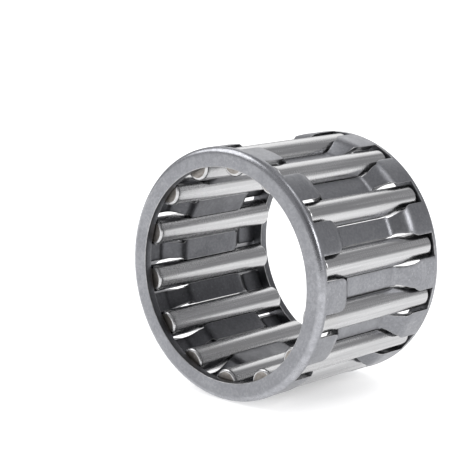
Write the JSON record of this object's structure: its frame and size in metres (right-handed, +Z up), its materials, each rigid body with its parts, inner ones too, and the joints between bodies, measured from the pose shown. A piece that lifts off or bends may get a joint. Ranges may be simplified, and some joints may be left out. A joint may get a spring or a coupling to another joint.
{
  "type": "needle roller bearing",
  "caption": "Needle roller and cage assembly: an open pierced sheet steel ring cage holding loose needle rollers that run straight on a shaft and in a housing bore.",
  "frame": {"origin": "on the bearing's axis, half way along its width", "axes": "+Y along the bearing's axis, which is also the shaft's axis; +Z up, with the bearing lying on its side; +X completes the frame"},
  "size_m": [0.0316, 0.0234, 0.0316],
  "materials": {
    "cage_steel": "cold-rolled sheet steel, pierced, bent and tumbled to a dull satin grey, brighter on the bends and rims",
    "needle_steel": "hardened bearing steel, ground and lapped to a satin shine with faint lines, polished end roundings"
  },
  "bodies": {
    "cage": {"cage": "cage_steel"},
    "needle_01": {"needle_01": "needle_steel"},
    "needle_02": {"needle_02": "needle_steel"},
    "needle_03": {"needle_03": "needle_steel"},
    "needle_04": {"needle_04": "needle_steel"},
    "needle_05": {"needle_05": "needle_steel"},
    "needle_06": {"needle_06": "needle_steel"},
    "needle_07": {"needle_07": "needle_steel"},
    "needle_08": {"needle_08": "needle_steel"},
    "needle_09": {"needle_09": "needle_steel"},
    "needle_10": {"needle_10": "needle_steel"},
    "needle_11": {"needle_11": "needle_steel"},
    "needle_12": {"needle_12": "needle_steel"},
    "needle_13": {"needle_13": "needle_steel"},
    "needle_14": {"needle_14": "needle_steel"}
  },
  "joints": [
    {"name": "needle_01_spin", "type": "hinge", "parent": "cage", "child": "needle_01", "pos_m": [-0.00574, 0, 0.01266], "axis": [0, 1, 0], "continuous": true},
    {"name": "needle_02_spin", "type": "hinge", "parent": "cage", "child": "needle_02", "pos_m": [0.00032, 0, 0.0139], "axis": [0, 1, 0], "continuous": true},
    {"name": "needle_03_spin", "type": "hinge", "parent": "cage", "child": "needle_03", "pos_m": [0.00632, 0, 0.01238], "axis": [0, 1, 0], "continuous": true},
    {"name": "needle_04_spin", "type": "hinge", "parent": "cage", "child": "needle_04", "pos_m": [0.01106, 0, 0.00842], "axis": [0, 1, 0], "continuous": true},
    {"name": "needle_05_spin", "type": "hinge", "parent": "cage", "child": "needle_05", "pos_m": [0.01362, 0, 0.00278], "axis": [0, 1, 0], "continuous": true},
    {"name": "needle_06_spin", "type": "hinge", "parent": "cage", "child": "needle_06", "pos_m": [0.01348, 0, -0.0034], "axis": [0, 1, 0], "continuous": true},
    {"name": "needle_07_spin", "type": "hinge", "parent": "cage", "child": "needle_07", "pos_m": [0.01067, 0, -0.00891], "axis": [0, 1, 0], "continuous": true},
    {"name": "needle_08_spin", "type": "hinge", "parent": "cage", "child": "needle_08", "pos_m": [0.00574, 0, -0.01266], "axis": [0, 1, 0], "continuous": true},
    {"name": "needle_09_spin", "type": "hinge", "parent": "cage", "child": "needle_09", "pos_m": [-0.00032, 0, -0.0139], "axis": [0, 1, 0], "continuous": true},
    {"name": "needle_10_spin", "type": "hinge", "parent": "cage", "child": "needle_10", "pos_m": [-0.00632, 0, -0.01238], "axis": [0, 1, 0], "continuous": true},
    {"name": "needle_11_spin", "type": "hinge", "parent": "cage", "child": "needle_11", "pos_m": [-0.01106, 0, -0.00842], "axis": [0, 1, 0], "continuous": true},
    {"name": "needle_12_spin", "type": "hinge", "parent": "cage", "child": "needle_12", "pos_m": [-0.01362, 0, -0.00278], "axis": [0, 1, 0], "continuous": true},
    {"name": "needle_13_spin", "type": "hinge", "parent": "cage", "child": "needle_13", "pos_m": [-0.01348, 0, 0.0034], "axis": [0, 1, 0], "continuous": true},
    {"name": "needle_14_spin", "type": "hinge", "parent": "cage", "child": "needle_14", "pos_m": [-0.01067, 0, 0.00891], "axis": [0, 1, 0], "continuous": true}
  ]
}
